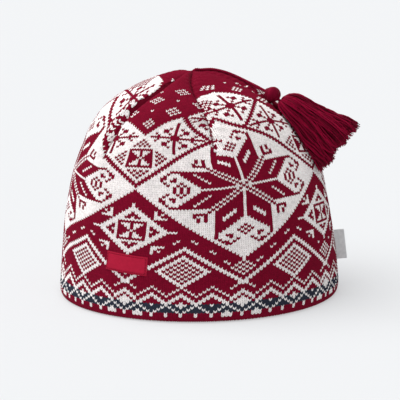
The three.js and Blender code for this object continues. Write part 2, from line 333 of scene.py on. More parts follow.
# Tubes along many lines at once: lines (tubes, stations, 3), radii (tubes, stations)
def tube_mesh(lines, radii, sides, reference=(0, 0, 1)):
    lines = np.asarray(lines, float)
    tubes, stations = lines.shape[:2]
    tangent = unit(np.gradient(lines, axis=1))
    across = unit(np.cross(tangent, np.broadcast_to(np.asarray(reference, float), tangent.shape)))
    up = np.cross(across, tangent)
    angle = np.linspace(0, 2 * math.pi, sides, endpoint=False)
    reach = np.asarray(radii, float)[..., None, None]
    rings = lines[:, :, None] + reach * (
        across[:, :, None] * np.cos(angle)[:, None] + up[:, :, None] * np.sin(angle)[:, None]
    )
    points = rings.reshape(-1, 3)
    faces = []
    pattern = grid_faces(stations, sides, closed=True)
    first = list(range(sides))[::-1]
    last = [(stations - 1) * sides + side for side in range(sides)]
    for tube in range(tubes):
        start = tube * stations * sides
        faces += (pattern + start).tolist()
        faces += [[corner + start for corner in first], [corner + start for corner in last]]
    return points, faces


# Materials
class Nodes:
    def __init__(self, name):
        self.material = bpy.data.materials.new(name)
        self.material.use_nodes = True
        self.tree = self.material.node_tree
        self.shader = self.tree.nodes["Principled BSDF"]

    def add(self, kind, inputs=None, **settings):
        node = self.tree.nodes.new(kind)
        for key, value in settings.items():
            setattr(node, key, value)
        for key, value in (inputs or {}).items():
            self.feed(node.inputs[key], value)
        return node

    def feed(self, socket, value):
        if isinstance(value, bpy.types.NodeSocket):
            self.tree.links.new(value, socket)
        else:
            socket.default_value = value

    def noise(self, scale, detail=2.0, stretch=(1, 1, 1)):
        place = self.add("ShaderNodeTexCoord").outputs["Object"]
        spread = self.add("ShaderNodeMapping", {"Vector": place, "Scale": stretch})
        inputs = {"Vector": spread.outputs[0], "Scale": scale, "Detail": detail}
        return self.add("ShaderNodeTexNoise", inputs).outputs["Fac"]

    # a noise, which is mostly from 0.3 to 0.7, as a factor from low to high
    def factor(self, noise, low, high):
        inputs = {"Value": noise, "From Min": 0.3, "From Max": 0.7, "To Min": low, "To Max": high}
        return self.add("ShaderNodeMapRange", inputs).outputs[0]

    def bump(self, height, distance, strength):
        inputs = {"Height": height, "Distance": distance, "Strength": strength}
        self.feed(self.shader.inputs["Normal"], self.add("ShaderNodeBump", inputs).outputs[0])

    def colour(self, base, factor):
        node = self.add("ShaderNodeVectorMath", {0: base, 3: factor}, operation="SCALE")
        self.feed(self.shader.inputs["Base Color"], node.outputs[0])


def finish_cloth(nodes, roughness, sheen, shine=0.03):
    inputs = nodes.shader.inputs
    inputs["Roughness"].default_value = roughness
    inputs["Specular IOR Level"].default_value = shine
    inputs["Sheen Weight"].default_value = sheen
    inputs["Sheen Roughness"].default_value = 0.5
    return nodes.material


FIBRE_DEPTH, RIB_DEPTH = 0.0002, 0.00008


# Wool that takes its colour from each stitch
def knit_wool():
    nodes = Nodes("knit_wool")
    yarn = nodes.add("ShaderNodeAttribute", attribute_name="yarn").outputs["Color"]
    heather = nodes.factor(nodes.noise(900, 3), 0.86, 1.12)
    blotch = nodes.factor(nodes.noise(45, 2), 0.95, 1.05)
    shade = nodes.add("ShaderNodeMath", {0: heather, 1: blotch}, operation="MULTIPLY").outputs[0]
    nodes.colour(yarn, shade)
    nodes.bump(nodes.noise(2600, 3, (1, 1, 0.45)), FIBRE_DEPTH, 0.6)
    return finish_cloth(nodes, 0.88, 0.02)


# Wool of the cord, the knot and the tassel, with a tone of its own for each yarn
def yarn_wool(name):
    nodes = Nodes(name)
    yarn = nodes.add("ShaderNodeAttribute", attribute_name="yarn").outputs["Color"]
    nodes.colour(yarn, nodes.factor(nodes.noise(700, 3), 0.85, 1.12))
    nodes.bump(nodes.noise(2400, 3), FIBRE_DEPTH, 0.5)
    return finish_cloth(nodes, 0.6, 0.01, 0.05)


# Woven cloth for the label, its thread and the tape
def woven(name, colour, threads):
    nodes = Nodes(name)
    tone = nodes.factor(nodes.noise(500, 2), 0.93, 1.06)
    base = nodes.add("ShaderNodeCombineXYZ", {0: colour[0], 1: colour[1], 2: colour[2]}).outputs[0]
    nodes.colour(base, tone)
    place = nodes.add("ShaderNodeTexCoord").outputs["Object"]
    ribs = nodes.add("ShaderNodeTexWave", {"Vector": place, "Scale": threads}, bands_direction="Z")
    nodes.bump(ribs.outputs["Fac"], RIB_DEPTH, 0.6)
    return finish_cloth(nodes, 0.6, 0.02)


CRIMSON = (0.228, 0.004, 0.0245)
OFF_WHITE = (0.99, 0.945, 0.935)
NAVY = (0.032, 0.037, 0.058)
YARN_RED = (0.208, 0.0015, 0.0225)
LABEL_RED = (0.415, 0.0115, 0.0405)
THREAD_RED = (0.176, 0.0035, 0.0176)
TAPE_GREY = (0.72, 0.735, 0.745)
wool = knit_wool()
tassel_wool = yarn_wool("tassel_wool")

# The cord's route: from a tuck under the top, over the knit, through the knot into the tassel's neck
CORD_SETTLES = 0.3
TUCK_REACH, TUCK_LIFT = 1.5, -1.2
bearings, reaches, lifts = np.array(CORD_ROUTE, float).T
tuck = knit_point(bearings[0] + 180, MERIDIAN - TUCK_REACH, TUCK_LIFT)
route = knit_point(bearings, MERIDIAN - reaches, lifts - CORD_SETTLES)
knot_centre = knit_point(KNOT_BEARING, MERIDIAN - KNOT_REACH, KNOT_LIFT)
neck = knit_point(NECK_BEARING, MERIDIAN - NECK_REACH, NECK_LIFT)
route = np.vstack([tuck, route, knot_centre, neck])
cord_line = smooth_curve(route)


# A tone for each yarn or strand, the same at all its points
def toned(count, points_each, low=0.8, high=1.2):
    return np.array(YARN_RED) * np.repeat(rng.uniform(low, high, count), points_each)[:, None]


# Plies twisted round one middle line
def twisted(line, plies, offset, radius, pitch, sides):
    tangent = unit(np.gradient(line, axis=0))
    across = unit(np.cross(tangent, (0, 0, 1)))
    up = np.cross(across, tangent)
    turn = lengths_along(line) * 2 * math.pi / pitch
    strands = []
    for ply in range(plies):
        angle = (turn + 2 * math.pi * ply / plies)[:, None]
        strands.append(line + offset * (across * np.cos(angle) + up * np.sin(angle)))
    return tube_mesh(strands, np.full((plies, len(line)), radius), sides)


# Cord: three plies twisted together along its route
CORD_PLIES, PLY_OFFSET, PLY_RADIUS, PLY_PITCH = 3, 0.5, 0.52, 4.2


def make_cord():
    line = resampled(cord_line, 190)
    points, faces = twisted(line, CORD_PLIES, PLY_OFFSET, PLY_RADIUS, PLY_PITCH, 8)
    tones = toned(CORD_PLIES, len(points) // CORD_PLIES)
    return new_piece("cord", points, faces, tassel_wool, ["tassel_cord"], colours=tones)


cord = make_cord()


# A ball of bands of faces between two tips
def ball(centre, radius, around, bands):
    polar = np.linspace(0, math.pi, bands + 1)[1:-1, None]
    angle = np.linspace(0, 2 * math.pi, around, endpoint=False)[None, :]
    sides = np.sin(polar) * np.cos(angle), np.sin(polar) * np.sin(angle), np.cos(polar)
    rings = np.stack(np.broadcast_arrays(*sides), axis=-1).reshape(-1, 3)
    points = np.vstack([rings, [[0, 0, 1], [0, 0, -1]]]) * radius + centre
    faces = [face[::-1] for face in grid_faces(bands - 1, around, closed=True).tolist()]
    top, bottom = len(rings), len(rings) + 1
    last = (bands - 2) * around
    for i in range(around):
        faces.append([i, (i + 1) % around, top])
        faces.append([last + (i + 1) % around, last + i, bottom])
    return points, faces


# Knot: an overhand knot pulled tight, which is a thick trefoil of fine yarns round a core
KNOT_STRAND = 2.25
KNOT_YARNS, KNOT_YARN_RADIUS, KNOT_PITCH = 16, 0.5, 60.0
KNOT_SPREAD, KNOT_WAVE, KNOT_TILT = 1.3, 3.1, 50
# the core's colour is the yarn's at 0.8: painted shade deep between the knot's yarns
KNOT_CORE, CORE_PAINTED_SHADE = 4.9, 0.8


def make_knot():
    along = unit(neck - knot_centre)
    normal = dome_normal(KNOT_BEARING, MERIDIAN - KNOT_REACH)
    across = unit(np.cross(normal, along))
    up = np.cross(along, across)
    turn = np.linspace(0, 2 * math.pi, 110, endpoint=False)
    flat = np.stack([
        (np.sin(turn) + 2 * np.sin(2 * turn)) * KNOT_SPREAD,
        (np.cos(turn) - 2 * np.cos(2 * turn)) * KNOT_SPREAD,
        -np.sin(3 * turn) * KNOT_WAVE,
    ], axis=-1)
    tilt = math.radians(KNOT_TILT)
    first = along * math.cos(tilt) + up * math.sin(tilt)
    third = up * math.cos(tilt) - along * math.sin(tilt)
    line = knot_centre + flat[:, :1] * first + flat[:, 1:2] * across + flat[:, 2:] * third
    # keep the knot inside its ball
    away = line - knot_centre
    far = np.linalg.norm(away, axis=1, keepdims=True)
    line = knot_centre + away * np.minimum(1, (KNOT_RADIUS + 0.1 - KNOT_STRAND) / far)
    closed = np.vstack([line, line[:1]])
    thin = KNOT_YARN_RADIUS
    points, faces = twisted(closed, KNOT_YARNS, KNOT_STRAND - thin, thin, KNOT_PITCH, 5)
    core_points, core_faces = ball(knot_centre, KNOT_CORE, 28, 16)
    yarn_tones = toned(KNOT_YARNS, len(points) // KNOT_YARNS)
    tones = np.vstack([yarn_tones, toned(1, len(core_points), CORE_PAINTED_SHADE, CORE_PAINTED_SHADE)])
    faces = faces + [[corner + len(points) for corner in face] for face in core_faces]
    points = np.vstack([points, core_points])
    return new_piece("knot", points, faces, tassel_wool, ["cord_knot"], colours=tones)


knot = make_knot()


# Distance of points outside the plain dome, and the way straight out
def outside_dome(points):
    height = np.clip(points[..., 2], 0, HEIGHT)
    radius, outward, upward = [
        np.interp(height, SECTION[:, 2], part)
        for part in (SECTION[:, 0] / MEAN_RADIUS, SECTION_SLOPE[:, 2], -SECTION_SLOPE[:, 0])
    ]
    x = points[..., 0] - TOP_LEAN * (height / HEIGHT) ** 2
    angle = np.arctan2(x / HALF_WIDTH, -points[..., 1] / HALF_LENGTH)
    reach = np.hypot(x / HALF_WIDTH, points[..., 1] / HALF_LENGTH)
    way = np.stack([outward * np.sin(angle), -outward * np.cos(angle), upward], axis=-1)
    return (reach - radius) * MEAN_RADIUS * outward, way


# Tassel: many fine yarns in loose clumps from one rounded head, laid on the dome
YARN_RADIUS = 0.4
YARN_STATIONS = 17
TASSEL_CLUMPS = ((10, 1.0, 56), (4, 0.5, 36))  # clumps, their share of the spread, yarns in each
HEAD_STOPS = (0, 0.04, 0.12, 0.3, 0.5)
HEAD_SPREAD = (0.12, 0.32, 0.46, 0.57, 0.62)
LIFT_IN_MIDDLE, SAG_AT_END = 0.6, 1.5


def make_tassel():
    bearing, droop = math.radians(TASSEL_BEARING), math.radians(TASSEL_DROOP)
    level = np.array([math.sin(bearing), -math.cos(bearing), 0])
    along = level * math.cos(droop)
    along[2] = -math.sin(droop)
    deep = np.array([level[1], -level[0], 0])
    wide = np.cross(deep, along)
    down = np.linspace(0, 1, YARN_STATIONS) ** 1.15
    stops, spreads, fatnesses = np.array(LOCK_STATIONS).T
    spread, fatness = np.interp(down, stops, spreads), np.interp(down, stops, fatnesses)
    spread = np.maximum(spread, np.interp(down, HEAD_STOPS, HEAD_SPREAD))
    lines, radii = [], []
    for count, share, yarns in TASSEL_CLUMPS:
        for clump in range(count):
            centre_angle = 2 * math.pi * (clump + 0.5) / count
            clump_phase = rng.uniform(0, 6)
            for _ in range(yarns):
                length = (1 - 0.025 * (clump % 3)) * rng.uniform(0.94, 1.0)
                offset, way = math.sqrt(rng.uniform(0, 1)), rng.uniform(0, 2 * math.pi)
                drift = np.clip(rng.normal(0, 1.0, 2), -1.5, 1.5)
                stray = 2.2 if rng.uniform() < 0.05 else 1.0
                loose = np.maximum(fatness - YARN_RADIUS, 0.5) * offset
                turning = way + rng.uniform(-0.5, 2.8) * down
                curl = 0.5 * np.sin(down * rng.uniform(5, 15) + rng.uniform(0, 6)) * stray
                curl = curl + 0.22 * np.sin(down * rng.uniform(18, 30) + rng.uniform(0, 6))
                curl = (curl + 0.9 * np.sin(down * 6.5 + clump_phase)) * np.minimum(1, 1.6 * down)
                sideways = math.cos(centre_angle) * spread * share * (TASSEL_SPREAD + 0.5)
                sideways = sideways + np.cos(turning) * loose + drift[0] * down * stray + curl
                depth = math.sin(centre_angle) * spread * share * TASSEL_DEPTH
                depth = depth + np.sin(turning) * loose + drift[1] * down * stray
                line = neck + np.outer(down * length * TASSEL_LENGTH, along)
                line = line + np.outer(sideways, wide) + np.outer(depth, deep)
                line[:, 2] += LIFT_IN_MIDDLE * np.sin(math.pi * down) - SAG_AT_END * down**2
                lines.append(line)
                radii.append(YARN_RADIUS * np.interp(down, (0, 0.1, 0.9, 1), (0.9, 1, 1, 0.55)))
    # the yarns are pushed out of the cap until they lie on it
    lines = np.array(lines)
    for _ in range(4):
        distance, way = outside_dome(lines)
        short = np.maximum(YARN_RADIUS + PUFF + 0.4 - distance, 0)
        lines = lines + way * short[..., None]
    points, faces = tube_mesh(lines, np.array(radii), 4)
    tones = toned(len(lines), YARN_STATIONS * 4, 0.5, 1.5)
    return new_piece(
        "tassel_yarns",
        points,
        faces,
        tassel_wool,
        ["tassel"],
        colours=tones,
    )


tassel = make_tassel()


# The pattern, charted on half a repeat: x counts wales from a small star's middle (0)
# to a big star's middle (32), row counts courses up from the rim
ROWS = 146
HALF_REPEAT = 32
SMALL_STAR_ROW, BIG_STAR_ROW, SQUARE_ROW = 41, 60, 74
RED, WHITE, BLUE = 0, 1, 2
x, row = np.meshgrid(np.arange(HALF_REPEAT + 1), np.arange(ROWS), indexing="ij")
chart = np.zeros(x.shape, int)


def paint(where, colour=WHITE):
    chart[where] = colour


# Places in a motif from its middle
def around(middle_x, middle_row):
    return np.abs(x - middle_x), np.abs(row - middle_row)


# A chequered diamond
def lattice(middle_x, middle_row, reach, colour=WHITE):
    a, b = around(middle_x, middle_row)
    paint((a + b <= reach) & ((a + b) % 2 == 1), colour)


to_star = np.minimum(x, HALF_REPEAT - x)  # wales from the nearer star's middle
beat = np.minimum(x % 8, 8 - x % 8)  # wales from the nearer peak of the zigzags
climb = 4 - beat


def chart_rim():
    paint((row >= 5) & (row <= 8), BLUE)
    block = (np.abs(x - 4) <= 1) | (np.abs(x - 28) <= 1)
    paint(((x % 4 == 0) | block) & ((row == 3) | (row == 4)))
    paint(((x == 4) | (x == 28)) & (row == 5))
    paint((row >= 5) & (row <= 7) & (beat == row - 4))
    paint(((x == 8) | (x == 24)) & (row == 8))
    paint((x == 16) & (row >= 7) & (row <= 9))
    paint((np.abs(x - 16) <= 1) & (row == 8))
    # a small flower below each star
    for level, reach in ((7, 0), (8, 1), (9, 2), (10, 1), (11, 0)):
        paint((row == level) & (to_star <= reach))
    # the thick zigzag, then the thin one, which are one and two stitches higher below the stars
    lift = (to_star < 4).astype(int)
    paint((row >= 8 + climb + lift) & (row <= 9 + climb + lift))
    paint(row == 12 + climb + 2 * lift)


# Pairs of stitches, and one by itself, on the plain red round the diamonds
SPOTS = ((28, 26), (27, 27), (24, 31), (23, 32), (18, 37), (19, 36), (14, 37), (13, 36), (4, 28))


def chart_lower_band():
    # a chequered diamond with a solid edge, under a line two stitches thick
    a, b = around(16, 23)
    paint((a + b <= 7) & (((a + b) % 2 == 0) | (a + b == 7)))
    paint((row == 17 + to_star) | (row == 18 + to_star))
    lattice(0, 24, 3)
    lattice(HALF_REPEAT, 24, 3)
    for at_x, at_row in SPOTS:
        paint((x == at_x) & (row == at_row))


# A square with an hourglass, nine stitches each way
def chart_square(middle_row):
    a, b = around(0, middle_row)
    inside = (a <= 4) & (b <= 4)
    paint(inside, RED)
    paint(inside & (a >= 1) & (a <= b) & (b <= 3))
    paint((b == 0) & (a == 0))


def chart_small_star():
    a, b = around(0, SMALL_STAR_ROW)
    near, far = np.minimum(a, b), np.maximum(a, b)
    paint((near + far <= 11) & (far >= 5))
    paint((far == 6) & (near >= 1) & (near <= 2), RED)
    paint((far == 7) & (near <= 1), RED)
    paint((far == 8) & (near == 0), RED)
    paint((a == 0) & (b == 12))
    paint((b == 0) & ((a == 12) | (a == 13)))
    # arrows off the corners, one stitch further out below than above
    for up in (row - SMALL_STAR_ROW, SMALL_STAR_ROW - 1 - row):
        paint((x == 7) & (up >= 6) & (up <= 9))
        paint((x >= 7) & (x <= 10) & (up == 6))
        paint(((x == 8) & (up == 7)) | ((x == 9) & (up == 8)))
    chart_square(SMALL_STAR_ROW)


# The corner motif, the flower and the curls of a big star, from its middle outwards
CORNER = (
    "####",
    "#..#",
    "#.#.",
    "#.#.",
)
FLOWER = (
    "..#..",
    ".#.#.",
    "#.#.#",
    "#.#.#",
    "#.#.#",
    ".#.#.",
    "..#..",
)
CURL = (  # wales across a petal's middle line, wales along it
    (8, 20),
    (8, 21),
    (7, 22),
    (6, 23),
    (5, 24),
    (4, 24),
    (5, 23),
    (3, 23),
    (2, 22),
    (5, 20),
    (4, 20),
    (4, 21),
)


# The marked stitches of a motif written as text, as (line, place)
def marks(motif):
    places = [(line, place) for line, text in enumerate(motif) for place in range(len(text))]
    return [(line, place) for line, place in places if motif[line][place] == "#"]


def chart_big_star():
    a, b = around(HALF_REPEAT, BIG_STAR_ROW)
    near, far = np.minimum(a, b), np.maximum(a, b)
    beside = a > b
    petal = (near >= 1) & (near <= 8) & (far >= near + 2) & (far <= near + np.where(beside, 11, 12))
    paint(petal, RED)
    paint(beside & (near >= 3) & (near <= 7) & (far - near == 7))
    paint(~beside & (near >= 3) & (near <= 6) & ((far - near == 7) | (far - near == 8)))
    paint((near == far) & (far <= 11), RED)
    for line, place in marks(CORNER):
        paint((a == 11 + place) & (b == 11 + line), RED)
    for line, place in marks(FLOWER):
        paint((a == 16 + place) & (row - BIG_STAR_ROW == line - 3), RED)
    paint((a + np.abs(b - 19) <= 2) & ((a + b) % 2 == 1), RED)
    # a curl off each petal's tip, one stitch further out above and below
    for step_near, step_far in CURL:
        paint(beside & (near == step_near) & (far == step_far), RED)
        paint(~beside & (near == step_near) & (far == step_far + 1), RED)


def chart_snowflake(middle_x, middle_row, within):
    a, b = around(middle_x, middle_row)
    flake = ((a == 0) & (b <= 8)) | ((a <= 1) & (b <= 1)) | ((b == 0) & (a <= 9))
    flake |= ((a == 6) & (b <= 1)) | ((a == 7) & (b == 2))
    flake |= ((a == 2) & (b == 5)) | ((a == 2) & (b == 2))
    flake |= (a >= 3) & (a <= 4) & (b >= 3) & (b <= 4)
    paint(flake & within, RED)


def chart_upper():
    # the lower half of the big star's diamond, and all the white above it
    across, up = around(HALF_REPEAT, BIG_STAR_ROW)
    paint((across + up <= HALF_REPEAT) & (row <= BIG_STAR_ROW))
    zone = (row > BIG_STAR_ROW) & (row < np.minimum(86 + x, 109))
    paint(zone)
    above = zone & (row >= BIG_STAR_ROW + 3 + x)
    chart_snowflake(12, 85, above)
    chart_snowflake(23, 97, above)
    a, b = around(0, SQUARE_ROW)
    paint((a + b <= 9) & (np.maximum(a, b) >= 6) & ((a + b) % 2 == 1), RED)
    chart_square(SQUARE_ROW)
    lattice(HALF_REPEAT, 103, 5, RED)
    # the lines that part the diamonds
    paint((row >= BIG_STAR_ROW + 1 + x) & (row <= BIG_STAR_ROW + 2 + x), RED)
    paint((row + x >= 108) & (row + x <= 109) & (x >= 12) & (x <= 23), RED)


# Small checks and single stitches by turns, seven stitches apart, above the white
def chart_crown():
    step, lowest, highest = 7, 92, 113
    for place in range(0, HALF_REPEAT + 1, step):
        for number, level in enumerate(range(lowest + place, highest + 1, step)):
            reach = 2 if number % 2 == 0 else 0
            a, b = around(place, level)
            paint((a + b <= reach) & ((a + b) % 2 == 0))


chart_rim()
chart_lower_band()
chart_upper()
chart_small_star()
chart_big_star()
chart_crown()

# The knit's gauge: wales round the rim, and the rise of each row. The hem's rows are below nought.
WALES = 256
HEM_ROWS = 5
ROW_STOPS = (-12, 9, 30, 45, 60, 75, 90, 111, 146)
RISE_STOPS = (-16.8, 12.0, 40.5, 59.9, 80.4, 101.6, 120.2, 149.8, 197)
GORE_WALES = WALES / DART_COUNT
PER_DEGREE = WALES / 360  # wales in a degree
FIRST_GORE = (FIRST_DART - GORE / 2) * WALES / 360


def row_rise(at_row):
    return np.interp(at_row, ROW_STOPS, RISE_STOPS)


# The wales drift a little round the cap, more higher up. One of them stays where it is counted.
STILL_WALE = 21
SHIFT_RISES = (0, 35, 56, 82, 100)
SHIFT = (0.9, 1.0, 2.2, 2.8, 2.8)
SPREAD = (0.0, 0.036, 0.043, 0.054, 0.054)
DRIFT_PLACES = (-70, -32, -20, -12, -4, 5, 21, 33, 42, 53, 63, 90)
LOW_DRIFT = (0, -1, -0.2, -0.3, -0.2, 0, 0.2, 0.8, 1.2, 1.2, 0.6, 0)
HIGH_DRIFT = (0, -3.8, -3, -2, -0.8, 0, 0.1, 0.5, 0.6, 0, -0.2, 0)


def drifted(wale, rise):
    shift = np.interp(rise, SHIFT_RISES, SHIFT)
    spread = np.interp(rise, SHIFT_RISES, SPREAD) * WALES / (2 * math.pi)
    turn = 2 * math.pi / WALES
    place = wale + shift + spread * (np.sin(turn * (wale - STILL_WALE)) + math.sin(turn * STILL_WALE))
    low, high = np.interp(place, DRIFT_PLACES, LOW_DRIFT), np.interp(place, DRIFT_PLACES, HIGH_DRIFT)
    return place + low + (high - low) * smoothstep(rise, 35, 75)


# Where the cloth is stretched upwards: on the right, on the left of the deep dart, and low on the left
RIGHT_PLACE, RIGHT_REACH = 58, 43
RIGHT_RISES = (0, 25, 45, 66, 87, 105, 125, 140, 155, 175, 195)
RIGHT_STRETCH = (0, 1.5, 2.6, 3.6, 5, 7, 9.5, 10.5, 9, 4, 0)
LEFT_PLACE, LEFT_REACH = -36, 24
LEFT_RISES = (8, 35, 60, 85, 100, 115, 148, 175, 195)
LEFT_STRETCH = (0, 2, 2.2, 2.8, 5, 10, 24, 14, 0)
LOW_LEFT_PLACES = (-70, -40, -27, -20, -13, -6)
LOW_LEFT_SHARE = (0, 1, 1, 0.55, 0.2, 0)
LOW_LEFT_RISES = (3, 14, 28, 50, 66, 84)
LOW_LEFT_STRETCH = (0, 1.2, 3.6, 3.8, 1.6, 0)


def stretched(place, rise, gore):
    from_right = np.abs(np.mod(place - RIGHT_PLACE + WALES / 2, WALES) - WALES / 2)
    right = np.cos(np.clip(from_right / RIGHT_REACH, 0, 1) * math.pi / 2) ** 2
    found = right * np.interp(rise, RIGHT_RISES, RIGHT_STRETCH)
    low_left = np.interp(place, LOW_LEFT_PLACES, LOW_LEFT_SHARE)
    found = found + low_left * np.interp(rise, LOW_LEFT_RISES, LOW_LEFT_STRETCH)
    from_left = np.abs(place - LEFT_PLACE)
    left = np.cos(np.clip(from_left / LEFT_REACH, 0, 1) * math.pi / 2) ** 2
    left = left + (np.where(gore == -1, 1, 0) - left) * smoothstep(rise, 98, 112)
    return found + left * np.interp(rise, LEFT_RISES, LEFT_STRETCH)


RADIUS_AT_DART = float(section_at(DART_END)[0])


# Where the two front darts draw the knit to them, below and beside their lower ends
LEFT_PINCH, BESIDE_PINCH, SEAM_PINCH = 3, 2.6, 2.6


def pinched(place, rise):
    seam = smoothstep(rise, 82, 104) * np.interp(place, (26, 36, 43, 50, 66), (0, 0.5, 1, 0.75, 0))
    below_crown = 1 - smoothstep(rise, 124, 134)
    beside = smoothstep(rise, 90, 120) * np.interp(place, (2, 14, 23, 30, 36), (0, 0.7, 1, 0.6, 0))
    left = smoothstep(rise, 92, 112) * np.interp(place, (-34, -24, -12, 0, 8), (0, 1, 0.9, 0.35, 0))
    return (LEFT_PINCH * left - BESIDE_PINCH * beside) * below_crown - SEAM_PINCH * seam


# A place in the knit (wale, row, gore) as bearing and rise, and how far it lies past the gore's darts
SINK = 0.8


def knit_place(wale, at_row, gore):
    rise = row_rise(at_row)
    gore_middle = FIRST_GORE + gore * GORE_WALES
    place = drifted(wale, rise)
    place = place + pinched(place, rise)
    # the crown's checks stand a little to one side
    aside = (gore == 0) * np.interp(rise, (108, 130, 145), (0, 1.3, 1.7))
    aside = aside - 2.1 * (gore == 1) * smoothstep(rise, 146, 156)
    radius, _, _, upward = section_at(rise)
    past_dart = rise > DART_END
    ratio = np.where(past_dart, RADIUS_AT_DART / np.maximum(radius, 0.02), 1)
    offset = (place + aside - gore_middle) * ratio
    # the leaning darts cut the front gore and widen the gores beside it
    left, right = leans(rise)
    wide = GORE_WALES + (np.where(gore == -1, left, 0) + np.where(gore == 1, right, 0)) * PER_DEGREE
    share = wide / GORE_WALES
    low = -GORE_WALES / 2 + np.where(gore == 0, left, 0) * PER_DEGREE
    high = GORE_WALES / 2 - np.where(gore == 0, right, 0) * PER_DEGREE
    beyond = np.maximum(offset - high, low - offset)
    cut = np.where(past_dart, np.clip(offset, low - 0.15, high + 0.15), offset)
    # rows stay straight across a gore, so they sink towards its seams, but less beside the right dart
    angle = cut * 2 * math.pi / WALES
    tilt = np.maximum(upward, 0.02)
    cone = radius * MEAN_RADIUS / tilt
    sink = SINK * cone * (1 / np.cos(np.clip(angle, -0.6, 0.6) * tilt) - 1) * smoothstep(rise, 72, 108)
    beside_right_dart = np.interp(rise, (106, 124), (1, 0.05))
    rise = rise - sink * np.where((gore == 1) & (cut < 0), beside_right_dart, 1)
    rise = rise + stretched(gore_middle + cut, rise, gore)
    across = np.where(gore == -1, (cut + GORE_WALES / 2) * share - GORE_WALES / 2, cut)
    across = np.where(gore == 1, (cut - GORE_WALES / 2) * share + GORE_WALES / 2, across)
    return (gore_middle + across) * 360 / WALES, np.minimum(rise, MERIDIAN - 0.3), beyond


# One stitch: a patch of ground and two legs, as points (across, up, lift, half width). Across and up
# are in wales and rows, the lift is in millimetres, and a leg is four stations of three points.
LEG_STATIONS = (  # middle, half width, crest, up
    (0.08, 0.11, 0.1, -0.14),
    (0.22, 0.24, 0.58, 0.36),
    (0.3, 0.25, 0.64, 0.86),
    (0.39, 0.14, 0.15, 1.34),
)
LEG_EDGE = 0.02  # lift of a leg's two edges


def stitch_shape():
    points = [(-0.54, -0.1, 0, 0), (0.54, -0.1, 0, 0), (0.54, 1.1, 0, 0), (-0.54, 1.1, 0, 0)]
    faces = [(0, 1, 2, 3)]
    for side in (-1, 1):
        start = len(points)
        for middle, half, crest, up in LEG_STATIONS:
            for part, height in ((-1, LEG_EDGE), (0, crest), (1, LEG_EDGE)):
                points.append((side * middle, up, height, part * half))
        faces += grid_faces(4, 3, start).tolist()
    return np.array(points), np.array(faces)


STITCH_POINTS, STITCH_FACES = stitch_shape()
GROUND_LIFT = -0.42
# for red, white and blue yarn: its colour, how full its legs are, and how far it stands up
PALETTE = np.array([CRIMSON, OFF_WHITE, NAVY])
FULLNESS = np.array([1.35, 0.8, 1.1])
RAISED = np.array([0.07, 0, 0.03])


def make_stitches():
    wales, rows = np.meshgrid(np.arange(WALES) - WALES // 2, np.arange(-HEM_ROWS, ROWS), indexing="ij")
    wales, rows = wales.ravel(), rows.ravel()
    at_dart = drifted(wales, DART_END)
    gores = np.round((at_dart - FIRST_GORE) / GORE_WALES)
    _, rise, beyond = knit_place(wales.astype(float), rows + 0.5, gores)
    # past the darts' ends a stitch is kept only inside its own gore
    kept = (row_rise(rows) <= DART_END) | (beyond < 0.2)
    kept &= rise < MERIDIAN - 1.2
    wales, rows, gores = wales[kept], rows[kept], gores[kept]
    folded = np.abs(np.mod(wales + HALF_REPEAT, 2 * HALF_REPEAT) - HALF_REPEAT)
    codes = np.where(rows < 0, RED, chart[folded, np.maximum(rows, 0)])
    across, up, lift, half = STITCH_POINTS.T
    across = across + half * FULLNESS[codes][:, None]
    wobble = rng.normal(0, 0.03, (len(wales), 2, 1))
    bearing, rise, _ = knit_place(
        wales[:, None] + across + wobble[:, 0],
        rows[:, None] + up + wobble[:, 1],
        gores[:, None] + 0 * across,
    )
    points = cloth_point(bearing, rise, lift + RAISED[codes][:, None] + GROUND_LIFT)
    tone = rng.uniform(0.93, 1.07, (len(wales), 1, 1))
    # each leg's two edges are darkened, to 0.66 on red and 0.92 on white and blue: painted shade in
    # the creases between the legs
    painted_edge_shade = np.where(codes == RED, 0.66, 0.92)[:, None, None]
    shade = np.where(lift[None, :, None] <= LEG_EDGE, painted_edge_shade, 1.0)
    colours = PALETTE[codes][:, None, :] * tone * shade
    # the ground between a stitch's legs is the stitch's colour at half strength, which is painted
    # shade, with some red yarn from behind added under white and blue stitches
    ground_yarn_and_shade = 0.5 * PALETTE[codes] + np.where(codes == RED, 0, 0.15)[:, None] * PALETTE[RED]
    colours[:, :4] = ground_yarn_and_shade[:, None, :]
    count = len(STITCH_POINTS)
    for number in range(DART_COUNT):
        part = np.mod(gores, DART_COUNT) == number
        size = int(part.sum())
        faces = (STITCH_FACES[None] + count * np.arange(size)[:, None, None]).reshape(-1, 4)
        new_piece(
            f"stitches_{number + 1}",
            points[part].reshape(-1, 3),
            faces,
            wool,
            colours=colours[part].reshape(-1, 3),
        )


# The cloth under the stitches: closed, from the inside of the top, round the fold, to the outside
CLOTH_LIFT = GROUND_LIFT - 0.12


